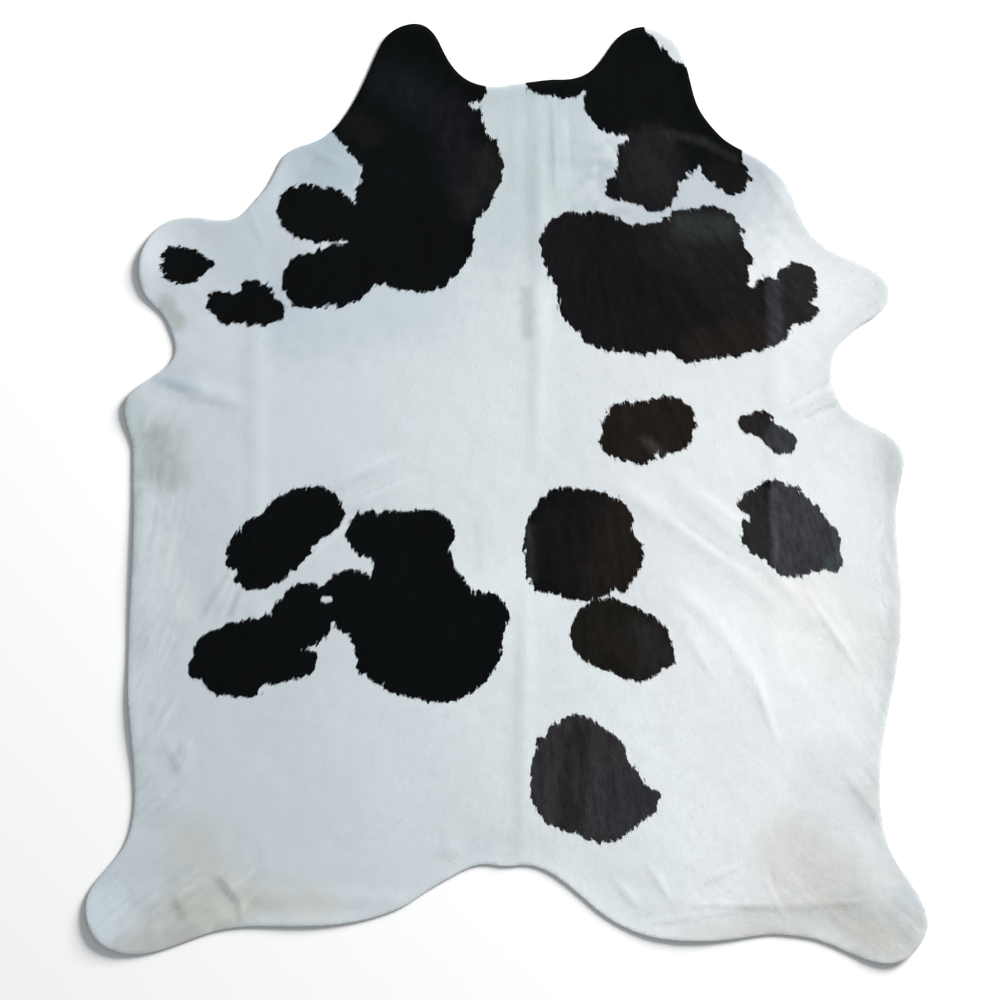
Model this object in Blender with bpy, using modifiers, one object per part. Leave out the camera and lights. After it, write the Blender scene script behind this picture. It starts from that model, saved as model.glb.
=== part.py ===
"""Cowhide rug: one whole cattle hide with its short hair on, lying flat on a floor, hair side up.

The hide is one piece of leather. Its rim is a closed Bezier curve through the features of the
animal's outline: ears, forelegs, belly, hind legs and tail. The sheet inside it follows a height
field of soft folds and lifts that never goes below the floor, so most of the flesh side lies flat.

Axes: +Y runs from the tail to the neck, +X to the right of it, and +Z up from the floor.
The origin is on the floor, under the middle of the hide's box.
"""

import math
from typing import NamedTuple

import bmesh
import bpy
from mathutils import Vector, geometry, kdtree

# Driving dimensions, in metres.
HIDE_LENGTH = 2.200  # from the ear tips to the ends of the hind legs
COAT_THICKNESS = 0.0045  # leather and the short hair that lies on it
CUT_EDGE_THICKNESS = 0.0026  # bare leather at the trimmed rim
HAIR_SETBACK = 0.009  # from the rim to where the hair stands at its full depth
RIM_CURL = 0.003  # how far the dried rim stands up off the floor all the way round
RIM_CURL_REACH = 0.055  # how far in from the rim the curl starts
FOLD_UNEVENNESS = 0.25  # share by which a fold's height wanders along it
FOLD_WANDERS_PER_METRE = 5.0

# Spacing of the points that the sheet is built on, in metres. A clearance is the least distance
# from a point of its kind to any point that is there already.
BEZIER_STEPS = 24  # pieces of the fine outline between two features of the rim
RIM_SPACING = 0.023
RIM_CLEARANCE = 0.0045
RING_CLEARANCE = 0.0115
FOLD_SPACING = 0.040
FOLD_ROWS = (0.0, -0.5, 0.5, -1.0, 1.0)  # its crest, half-way down and its feet, in half widths
FOLD_CLEARANCE = 0.38  # as a share of the fold's half width
CROSSING_SPACING = 0.0095  # where folds cross or run side by side
CROSSING_CLEARANCE = 0.007
OPEN_SPACING = 0.072
OPEN_CLEARANCE = 0.028

SHARPEST_SMOOTH_ANGLE = 40.0  # in degrees: only the cut edge is sharper


class RimPoint(NamedTuple):
    """A feature of the rim. The heading is in degrees from +X, going clockwise seen from above."""

    name: str
    x: float
    y: float
    heading: float


class Fold(NamedTuple):
    """A soft ridge from one end to the other. A positive bow lies to the left of that way."""

    name: str
    x_start: float
    y_start: float
    x_end: float
    y_end: float
    bow: float
    half_width: float
    height: float


class Lift(NamedTuple):
    """A round place where the hide stands up off the floor, highest at its middle."""

    name: str
    x: float
    y: float
    x_reach: float
    y_reach: float
    height: float


NECK_AND_EARS = (
    RimPoint("left ear tip", -211, 1100, 0),
    RimPoint("left ear, inner side", -152, 1048, -66),
    RimPoint("left ear root", -101, 976, -38),
    RimPoint("poll, left", -40, 954, -6),
    RimPoint("poll, middle", 42, 962, 6),
    RimPoint("poll, right", 126, 970, -2),
    RimPoint("right ear root", 206, 997, 45),
    RimPoint("right ear, inner side", 250, 1055, 54),
    RimPoint("right ear tip", 325, 1093, 0),
    RimPoint("right ear, outer side", 405, 1044, -62),
    RimPoint("right ear, back", 442, 924, -73),
    RimPoint("right nape", 494, 845, -48),
    RimPoint("right neck", 571, 796, -24),
)

RIGHT_SIDE = (
    RimPoint("shoulder", 648, 737, -50),
    RimPoint("shoulder, low", 702, 627, -58),
    RimPoint("foreleg root", 798, 555, -23),
    RimPoint("foreleg, front", 875, 516, -37),
    RimPoint("foreleg end", 899, 470, -92),
    RimPoint("foreleg, back", 856, 412, -150),
    RimPoint("armpit, front", 786, 356, -132),
    RimPoint("armpit", 763, 285, -90),
    RimPoint("armpit, back", 805, 192, -38),
    RimPoint("belly, front", 887, 147, -32),
    RimPoint("belly corner", 931, 77, -95),
    RimPoint("belly, hollow", 914, -49, -90),
    RimPoint("belly, swell", 927, -278, -91),
    RimPoint("belly, back", 897, -501, -101),
    RimPoint("waist", 876, -704, -89),
    RimPoint("thigh", 913, -856, -60),
    RimPoint("hock", 969, -943, -66),
    RimPoint("hind leg corner", 983, -1025, -112),
    RimPoint("hind leg end", 906, -1097, -172),
)

REAR = (
    RimPoint("right hind leg, inner side", 805, -1074, 157),
    RimPoint("right buttock, dip", 700, -1037, 172),
    RimPoint("right buttock", 599, -1032, 187),
    RimPoint("right buttock, swell", 461, -1046, 180),
    RimPoint("right buttock, end", 325, -1032, 164),
    RimPoint("right rump", 208, -969, 140),
    RimPoint("tail bay, right", 103, -886, 150),
    RimPoint("tail root, right", 42, -868, 180),
    RimPoint("tail root", -2, -871, 180),
    RimPoint("tail root, left", -51, -866, 182),
    RimPoint("tail bay, left", -119, -890, 209),
    RimPoint("left rump", -178, -924, 211),
    RimPoint("left rump, low", -248, -968, 205),
    RimPoint("left buttock, end", -388, -1006, 187),
    RimPoint("left buttock", -571, -1011, 180),
    RimPoint("left hind leg, inner side", -704, -1030, 199),
)

LEFT_SIDE = (
    RimPoint("hind leg end", -882, -1076, 176),
    RimPoint("hind leg corner", -969, -1027, 118),
    RimPoint("hock", -976, -934, 66),
    RimPoint("thigh", -899, -831, 58),
    RimPoint("waist", -870, -716, 88),
    RimPoint("belly, back", -885, -447, 90),
    RimPoint("belly, middle", -878, -225, 87),
    RimPoint("belly, front", -873, 56, 91),
    RimPoint("belly notch", -877, 126, 107),
    RimPoint("belly corner", -891, 211, 78),
    RimPoint("armpit, back", -833, 271, 34),
    RimPoint("armpit", -774, 337, 88),
    RimPoint("armpit, front", -793, 402, 113),
    RimPoint("foreleg, back", -840, 459, 126),
    RimPoint("foreleg end", -859, 534, 88),
    RimPoint("foreleg, front", -817, 620, 46),
    RimPoint("foreleg crown", -739, 648, 2),
    RimPoint("foreleg root", -643, 643, 12),
    RimPoint("shoulder, low", -571, 704, 47),
    RimPoint("shoulder", -524, 784, 60),
    RimPoint("neck", -463, 819, 16),
    RimPoint("nape", -398, 859, 48),
    RimPoint("ear, back", -337, 955, 64),
    RimPoint("ear, outer side", -292, 1053, 62),
)

RIM = NECK_AND_EARS + RIGHT_SIDE + REAR + LEFT_SIDE

# The tables of the relief are in millimetres too, from the same middle.

FOLDS = (
    # Along the spine, and the lines that the hide was packed on.
    Fold("spine, neck", 76, 940, 68, 40, 6, 22, 2.6),
    Fold("second neck pleat", 132, 938, 116, 690, 0, 19, 2.4),
    Fold("spine, loin", 48, -190, 34, -855, 0, 24, 2.2),
    Fold("left packing line", -583, 660, -583, -560, 0, 30, 1.8),
    Fold("right packing line", 629, 770, 633, -610, 0, 30, 2.0),
    Fold("left rump line", -640, -948, -200, -950, 6, 26, 2.4),
    Fold("right rump line", 262, -962, 968, -974, 10, 28, 3.2),
    # Pulled from the loin across the right flank.
    Fold("flank pull, upper", 350, 82, 832, -410, 9, 26, 3.6),
    Fold("flank pull, middle", 216, 44, 712, -332, 22, 25, 3.4),
    Fold("flank pull, lower", 334, -180, 625, -600, 63, 24, 3.2),
    Fold("flank pull, inner", 350, -206, 498, -412, -4, 18, 2.4),
    Fold("flank pull, outer", 698, -190, 826, -392, 8, 20, 2.8),
    # Pulled from the loin across the left flank.
    Fold("left fan, first", -420, 2, -266, 90, 3, 20, 2.8),
    Fold("left fan, second", -366, -42, -234, 30, 3, 16, 2.4),
    Fold("left fan, long", -552, -226, -366, -72, 6, 20, 3.2),
    Fold("left fan, belly outer", -714, -284, -646, -182, 4, 14, 2.4),
    Fold("left fan, belly middle", -680, -294, -622, -196, 4, 13, 2.2),
    Fold("left fan, belly inner", -645, -296, -600, -212, 3, 13, 2.2),
    # Short creases at the armpits, neck and legs.
    Fold("right armpit", 640, 186, 762, 252, -6, 18, 3.0),
    Fold("left armpit", -790, 262, -600, 212, 6, 18, 3.0),
    Fold("right neck", 578, 782, 668, 640, 8, 26, 2.4),
    Fold("left hock", -680, -886, -620, -1000, 24, 17, 3.4),
    Fold("left hind leg", -776, -934, -748, -990, 0, 14, 2.8),
    Fold("left hind leg, end", -826, -1000, -816, -1064, 0, 16, 2.4),
    Fold("left belly pucker", -752, -560, -772, -662, 10, 18, 3.0),
    Fold("right waist", 790, -652, 866, -756, 8, 20, 2.8),
    Fold("right rump, outer", 340, -880, 384, -944, 0, 14, 2.6),
    Fold("right rump, inner", 262, -912, 304, -958, 0, 13, 2.6),
    Fold("right buttock", 306, -1000, 540, -974, 4, 16, 2.6),
    Fold("right hock", 700, -876, 790, -850, 5, 18, 2.2),
    Fold("tail bay", -166, -838, -92, -824, 6, 16, 2.4),
)

LIFTS = (
    Lift("left ear", -225, 1105, 120, 105, 6.0),
    Lift("right ear", 345, 1100, 125, 100, 5.0),
    Lift("left foreleg", -862, 530, 120, 130, 8.0),
    Lift("right foreleg", 905, 462, 115, 110, 7.0),
    Lift("left belly corner", -895, 215, 120, 110, 6.5),
    Lift("left belly", -885, -170, 90, 230, 3.5),
    Lift("left waist", -885, -540, 90, 190, 5.0),
    Lift("right belly corner", 938, 80, 120, 130, 7.0),
    Lift("right belly", 930, -330, 90, 220, 3.5),
    Lift("left hind leg", -960, -1035, 170, 150, 9.0),
    Lift("right hind leg", 960, -1075, 175, 150, 9.0),
    Lift("left buttock", -470, -1025, 190, 80, 4.0),
    Lift("right buttock", 430, -1060, 210, 90, 5.0),
    Lift("left flank swell", -640, -60, 150, 210, 2.5),
    Lift("right flank swell", 690, -80, 140, 170, 2.5),
    Lift("left shoulder swell", -420, 560, 190, 150, 2.5),
    Lift("right shoulder swell", 470, 470, 230, 150, 2.5),
)


def bell(distance):
    """A smooth bump: 1 at distance 0, and level with the ground at distance 1 and beyond."""
    return 0.5 * (1.0 + math.cos(math.pi * min(distance, 1.0)))


def smooth_step(share):
    share = min(max(share, 0.0), 1.0)
    return share * share * (3.0 - 2.0 * share)


def merged(heights):
    """The heights as one form: near the highest of them, with no crease where two meet."""
    return sum(height**3 for height in heights) ** (1.0 / 3.0)


# The rim


def handle_share(turn):
    """The length of a Bezier handle, as a share of the chord, that makes an arc of this turn."""
    if turn < 1e-3:
        return 1.0 / 3.0
    return (2.0 / 3.0) * math.tan(turn / 4.0) / math.sin(turn / 2.0)


def direction(heading):
    return Vector((math.cos(math.radians(heading)), math.sin(math.radians(heading))))


def rim_piece(start, end):
    """Points of the Bezier curve from one rim feature up to the next, without the last."""
    first, last = Vector((start.x, start.y)), Vector((end.x, end.y))
    leaving, arriving = direction(start.heading), direction(end.heading)
    handle = handle_share(leaving.angle(arriving)) * (last - first).length
    points = geometry.interpolate_bezier(
        first, first + leaving * handle, last - arriving * handle, last, BEZIER_STEPS + 1
    )
    return [point.to_2d() for point in points[:-1]]


def spaced_loop(loop, spacing):
    """The closed loop again, with points one even spacing apart along it."""
    ends = loop[1:] + loop[:1]
    lengths = [(end - start).length for start, end in zip(loop, ends)]
    count = round(sum(lengths) / spacing)
    step = sum(lengths) / count
    points, reached, wanted = [], 0.0, 0.0
    for start, end, length in zip(loop, ends, lengths):
        while wanted < reached + length and len(points) < count:
            points.append(start.lerp(end, (wanted - reached) / length))
            wanted += step
        reached += length
    return points


def rim_loop(middle, scale):
    """The fine outline of the hide in metres, round the middle of its box."""
    loop = []
    for start, end in zip(RIM, RIM[1:] + RIM[:1]):
        loop += rim_piece(start, end)
    return [(point - middle) * scale for point in loop]


def table_frame():
    """The middle of the tables' outline, and the scale that turns their millimetres into metres."""
    loop = rim_loop(Vector((0.0, 0.0)), 1.0)
    across = [point.x for point in loop]
    along = [point.y for point in loop]
    middle = Vector((min(across) + max(across), min(along) + max(along))) / 2.0
    return middle, HIDE_LENGTH / (max(along) - min(along))


def inward(loop, distance):
    """The clockwise loop moved towards its inside."""
    moved = []
    for before, point, after in zip(loop[-1:] + loop[:-1], loop, loop[1:] + loop[:1]):
        along = (after - before).normalized()
        moved.append(point + Vector((along.y, -along.x)) * distance)
    return moved


def is_inside(point, loop):
    """Whether a ray from the point towards +X crosses the loop an odd number of times."""
    inside = False
    for start, end in zip(loop, loop[1:] + loop[:1]):
        if (start.y > point.y) != (end.y > point.y):
            share = (point.y - start.y) / (end.y - start.y)
            if point.x < start.x + share * (end.x - start.x):
                inside = not inside
    return inside


def search_tree(points):
    tree = kdtree.KDTree(len(points))
    for index, point in enumerate(points):
        tree.insert(point.to_3d(), index)
    tree.balance()
    return tree


# The height of the flesh side above the floor


class Ground:
    """The hide's relief: tables of folds and lifts, and the curl of the dried rim."""

    def __init__(self, middle, scale, rim):
        self.middle = middle
        self.scale = scale
        self.rim_tree = search_tree(rim)

    def place(self, x, y):
        """A place of the tables, in metres."""
        return (Vector((x, y)) - self.middle) * self.scale

    def fold_line(self, fold):
        """Where the fold starts, its unit direction, its left side and its length."""
        start = self.place(fold.x_start, fold.y_start)
        along = self.place(fold.x_end, fold.y_end) - start
        length = along.length
        along.normalize()
        return start, along, Vector((-along.y, along.x)), length

    def fold_point(self, fold, share, aside):
        """A point at this share of the fold's length, and aside by this many half widths."""
        start, along, left, length = self.fold_line(fold)
        bow = 4.0 * share * (1.0 - share) * fold.bow * self.scale
        return start + along * (share * length) + left * (bow + aside * fold.half_width * self.scale)

    def fold_height(self, fold, point):
        start, along, left, length = self.fold_line(fold)
        share = (point - start).dot(along) / length
        if not 0.0 < share < 1.0:
            return 0.0
        bow = 4.0 * share * (1.0 - share) * fold.bow * self.scale
        aside = abs((point - start).dot(left) - bow) / (fold.half_width * self.scale)
        if aside >= 1.0:
            return 0.0
        wander = math.sin(math.tau * FOLD_WANDERS_PER_METRE * length * share + fold.x_start)
        uneven = 1.0 - FOLD_UNEVENNESS * (0.5 + 0.5 * wander)
        fade = smooth_step(4.0 * share) * smooth_step(4.0 * (1.0 - share))
        return fold.height * self.scale * uneven * fade * bell(aside)

    def lift_height(self, lift, point):
        away = point - self.place(lift.x, lift.y)
        distance = math.hypot(away.x / lift.x_reach, away.y / lift.y_reach) / self.scale
        return lift.height * self.scale * bell(distance)

    def curl_height(self, point):
        distance = self.rim_tree.find(point.to_3d())[2]
        return RIM_CURL * max(0.0, 1.0 - distance / RIM_CURL_REACH) ** 2

    def height(self, point):
        folds = merged(self.fold_height(fold, point) for fold in FOLDS)
        lifts = merged(self.lift_height(lift, point) for lift in LIFTS)
        return folds + lifts + self.curl_height(point)


# The sheet


def grid_points(rim, spacing):
    """A staggered grid over the whole hide."""
    row_step = spacing * math.sqrt(3.0) / 2.0
    x_reach = max(abs(point.x) for point in rim)
    y_reach = max(abs(point.y) for point in rim)
    rows, columns = int(y_reach / row_step), int(x_reach / spacing)
    points = []
    for row in range(-rows, rows + 1):
        stagger = 0.5 * spacing * (row % 2)
        points += [
            Vector((column * spacing + stagger, row * row_step))
            for column in range(-columns, columns + 1)
        ]
    return points


def crossing_points(rim, ground):
    """Close points where two folds or more overlap."""
    return [
        point
        for point in grid_points(rim, CROSSING_SPACING)
        if sum(ground.fold_height(fold, point) > 0.0 for fold in FOLDS) > 1
    ]


def fold_points(fold, ground):
    """Points along a fold: on its crest, half-way down and at its feet."""
    steps = max(3, round(ground.fold_line(fold)[3] / FOLD_SPACING))
    shares = [step / steps for step in range(steps + 1)]
    return [
        ground.fold_point(fold, share, aside)
        for aside in FOLD_ROWS
        for share in shares
    ]


class SheetPoints:
    """The points that the sheet is built on, kept apart from each other and inside the rim."""

    def __init__(self, rim):
        self.rim = rim
        self.points = []
        self.cells = {}
        for point in rim:
            self.add(point)

    def cell(self, point):
        return math.floor(point.x / OPEN_CLEARANCE), math.floor(point.y / OPEN_CLEARANCE)

    def add(self, point):
        self.points.append(point)
        self.cells.setdefault(self.cell(point), []).append(point)

    def is_free(self, point, clearance):
        column, row = self.cell(point)
        for right in (-1, 0, 1):
            for up in (-1, 0, 1):
                near = self.cells.get((column + right, row + up), ())
                if any((point - other).length < clearance for other in near):
                    return False
        return is_inside(point, self.rim)

    def add_free(self, points, clearance):
        for point in points:
            if self.is_free(point, clearance):
                self.add(point)


def sheet_points(rim, ground):
    """The rim and the line where the coat is full, the folds, the rim's curl and the open ground."""
    sheet = SheetPoints(rim)
    sheet.add_free(inward(rim, HAIR_SETBACK), RIM_CLEARANCE)
    sheet.add_free(crossing_points(rim, ground), CROSSING_CLEARANCE)
    for fold in FOLDS:
        clearance = FOLD_CLEARANCE * fold.half_width * ground.scale
        sheet.add_free(fold_points(fold, ground), clearance)
    sheet.add_free(inward(rim, 0.5 * RIM_CURL_REACH)[::2], RING_CLEARANCE)
    sheet.add_free(inward(rim, RIM_CURL_REACH)[::2], RING_CLEARANCE)
    sheet.add_free(grid_points(rim, OPEN_SPACING), OPEN_CLEARANCE)
    return sheet.points


def flesh_side(name, rim, ground):
    """The open lower surface of the hide, as one triangulated mesh that faces up."""
    points = sheet_points(rim, ground)
    edges = [(index, (index + 1) % len(rim)) for index in range(len(rim))]
    flat, _, faces, *_ = geometry.delaunay_2d_cdt(points, edges, [], 1, 1e-6)
    mesh = bpy.data.meshes.new(name)
    mesh.from_pydata([(point.x, point.y, ground.height(point)) for point in flat], [], faces)
    sheet = bmesh.new()
    sheet.from_mesh(mesh)
    loose = [vertex for vertex in sheet.verts if not vertex.link_faces]
    bmesh.ops.delete(sheet, geom=loose, context="VERTS")
    for face in sheet.faces:
        if face.normal.z < 0.0:
            face.normal_flip()
    sheet.to_mesh(mesh)
    sheet.free()
    return mesh


def add_coat(hide, rim_tree):
    """Gives the hide its thickness, upwards, and thins it to bare leather at the rim."""
    depth = hide.vertex_groups.new(name="coat_depth")
    for vertex in hide.data.vertices:
        at_rim = rim_tree.find((vertex.co.x, vertex.co.y, 0.0))[2] < RIM_CLEARANCE
        share = CUT_EDGE_THICKNESS / COAT_THICKNESS if at_rim else 1.0
        depth.add([vertex.index], share, "REPLACE")
    coat = hide.modifiers.new("coat", "SOLIDIFY")
    coat.thickness = COAT_THICKNESS
    coat.offset = 1.0
    coat.use_even_offset = False
    coat.vertex_group = depth.name


def hair_coat_material():
    """White cattle hair with a cool cast."""
    material = bpy.data.materials.new("hair_coat")
    material.use_nodes = True
    shader = material.node_tree.nodes["Principled BSDF"]
    shader.inputs["Base Color"].default_value = (0.70, 0.74, 0.76, 1.0)
    shader.inputs["Roughness"].default_value = 0.62
    shader.inputs["Metallic"].default_value = 0.0
    return material


def build_hide(collection):
    middle, scale = table_frame()
    outline = rim_loop(middle, scale)
    rim = spaced_loop(outline, RIM_SPACING)
    ground = Ground(middle, scale, outline)
    mesh = flesh_side("hide", rim, ground)
    mesh.materials.append(hair_coat_material())
    hide = bpy.data.objects.new("hide", mesh)
    collection.objects.link(hide)
    add_coat(hide, search_tree(rim))
    mesh.shade_smooth()
    mesh.set_sharp_from_angle(angle=math.radians(SHARPEST_SMOOTH_ANGLE))
    return hide


def clear_scene():
    for item in list(bpy.data.objects):
        bpy.data.objects.remove(item, do_unlink=True)


def main():
    clear_scene()
    collection = bpy.data.collections.new("cowhide_rug")
    bpy.context.scene.collection.children.link(collection)
    build_hide(collection)


main()
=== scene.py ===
"""Looks of the cowhide rug: its leather, its coat of short hair, the floor, the light and the camera.

Tables of places count thousandths of the camera's view, to the right and down from its top left corner.
The built model is in metres, +X to the right and +Y towards the neck.
"""
import math
from collections import namedtuple

import bpy
import numpy as np
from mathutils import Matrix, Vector
from mathutils.bvhtree import BVHTree
from mathutils.geometry import delaunay_2d_cdt
from mathutils.kdtree import KDTree


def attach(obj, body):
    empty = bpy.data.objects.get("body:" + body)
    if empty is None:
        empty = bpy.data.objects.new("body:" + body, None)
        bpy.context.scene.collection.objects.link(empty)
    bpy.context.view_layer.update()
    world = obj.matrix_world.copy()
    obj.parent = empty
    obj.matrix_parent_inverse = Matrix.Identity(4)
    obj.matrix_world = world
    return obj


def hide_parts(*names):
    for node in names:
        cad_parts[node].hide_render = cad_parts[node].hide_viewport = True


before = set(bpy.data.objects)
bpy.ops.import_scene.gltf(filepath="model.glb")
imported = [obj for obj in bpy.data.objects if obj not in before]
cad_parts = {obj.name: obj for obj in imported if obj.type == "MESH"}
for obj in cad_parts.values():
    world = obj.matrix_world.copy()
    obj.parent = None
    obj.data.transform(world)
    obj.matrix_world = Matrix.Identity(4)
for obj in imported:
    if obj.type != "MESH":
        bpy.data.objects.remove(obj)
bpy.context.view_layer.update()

MM = 0.001

# The view's width in metres, and where the model's origin lies in it, in thousandths of the view.
VIEW_WIDTH = 2.3419
VIEW_ORIGIN = np.array((506.73, 493.70))
VIEW_STEP = VIEW_WIDTH / 1000.0 * np.array((1.0, -1.0))
VIEW_MIDDLE = 500.0

# Smooth noise with features of a size in the view; streaks also take steps both ways along the hair.
Noise = namedtuple("Noise", "size seed step steps", defaults=(0.0, 0))

# Noise repeats itself after this many features.
LATTICE = 256

# The leather sheet.
LEATHER_THICKNESS = 2.9 * MM
CUT_EDGE_THICKNESS = 2.3 * MM
EDGE_ROUNDING = 0.9 * MM
RIM_STEP = 6.0 * MM
DENSE_RIM_STEP = 1.5 * MM
SHEET_STEP = 7.5 * MM
SHEET_JITTER = 0.04
SHEET_SEED = 5
SHEET_FROM_RIM = 0.65 * SHEET_STEP
FLESH_FROM_RIM = 0.6 * RIM_STEP
HEIGHT_SMOOTHINGS = 9

# On the right, away from the rim, the sheet lies calmer than the solid's folds.
BROAD_SMOOTHINGS = 150
RIGHT_CALM = 0.45
CALM_START = 600.0
CALM_REACH = 100.0
CALM_FROM_RIM = 0.06

# Swells between the folds. They and the creases are lower at the rim.
BROAD_SWELL = Noise(18.0, seed=3)
BROAD_SWELL_RISE = 0.22 * MM
SMALL_SWELL = Noise(8.0, seed=4)
SMALL_SWELL_RISE = 0.10 * MM
RIM_RELIEF = 0.4
RELIEF_FROM_RIM = 0.03
# A crease rises along this stretch of a half wave: where it starts, and how much of it there is.
CREASE_WAVE = (0.12, 0.76)

# The locks of hair.
LOCK_SEED = 21
LOCK_SPACING = 4.6 * MM
LOCK_LENGTH = (12.0 * MM, 18.0 * MM)
LOCK_WIDTH = (1.7 * MM, 2.4 * MM)
LOCK_THICKNESS = 0.18 * MM
LOCK_RISE = (0.06 * MM, 0.22 * MM)
LOCK_SPREAD_DEGREES = 11.0
LOCK_ROUNDNESS = 0.025
ROOT_SEED = 22
ROOT_JITTER = 0.42
ROOT_FROM_RIM = 2.0 * MM
ROOT_DEPTH = 0.25 * MM
RIDGE_PLACE = 0.30
RIDGE_RISE = 0.2
COLOUR_POINT = 0.50
SWIRL = Noise(13.0, seed=23)
SWIRL_TURN = 0.14
# A lock that passes the rim by more than this is shortened a few times, and left out if it still does.
OVERHANG = 0.6 * MM
SHORTENINGS = 4
SHORTENED = 0.66
# A lock's points are its root's two corners, its ridge and its tip; its last face is the under side.
LOCK_FACES = np.array(((0, 1, 2), (0, 2, 3), (1, 3, 2), (0, 3, 1)))

# Edges of the black patches.
PATCH_GROWTH = 0.6
PATCH_MELT = 4.0
BAY_MELT = 2.0
FAR_OUTSIDE = 1000.0
RAGGED_WITHIN = 14.0
DEPTH_LIMIT = 60.0
TUFT = Noise(1.9, seed=31, step=1.1, steps=2)
TUFT_REACH = 2.0
WANDER = Noise(6.5, seed=32)
WANDER_REACH = 1.3

# How little a guide to the hair's lie counts far away, next to one that is near.
FAR_GUIDE = 1e-4

# The coat's colours. White hair is painted darker and bluer from the right to the left, partly its own tone
# and partly painted shade for the lamp's light falling off away from the right.
WHITE_LEFT_SHADED = np.array((0.527, 0.583, 0.617))
WHITE_RIGHT = np.array((0.660, 0.688, 0.702))
WHITE_START = 100.0
WHITE_REACH = 800.0
BLACK_HAIR = np.array((0.0014, 0.0022, 0.0026))

# How much streaks, clouds and each lock's own shade change those colours, and over what the coat coarsens.
STREAK = Noise(4.0, seed=11, step=3.0, steps=6)
FINE_STREAK = Noise(2.0, seed=14, step=1.6, steps=2)
CLOUD = Noise(55.0, seed=12)
SMOOTH_COAT = 0.009
COARSE_STREAK = 0.044
COARSE_LOCK = 0.042
WHITE_FINE_SHARE = 0.6
WHITE_CLOUD = 0.012
BLACK_STREAK = 0.17
BLACK_FINE_STREAK = 0.20
BLACK_CLOUD = 0.10
BLACK_LOCK = 0.26
COARSE_FADE = 36.0

# The soft edges of the stains, the painted shade and light, and the painted sheen are a little patchy.
PATCHY = Noise(7.0, seed=13)
PATCHY_REACH = 0.16

# A tapering stroke with round ends.
Blot = namedtuple("Blot", "name x_start y_start r_start x_end y_end r_end")

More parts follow.
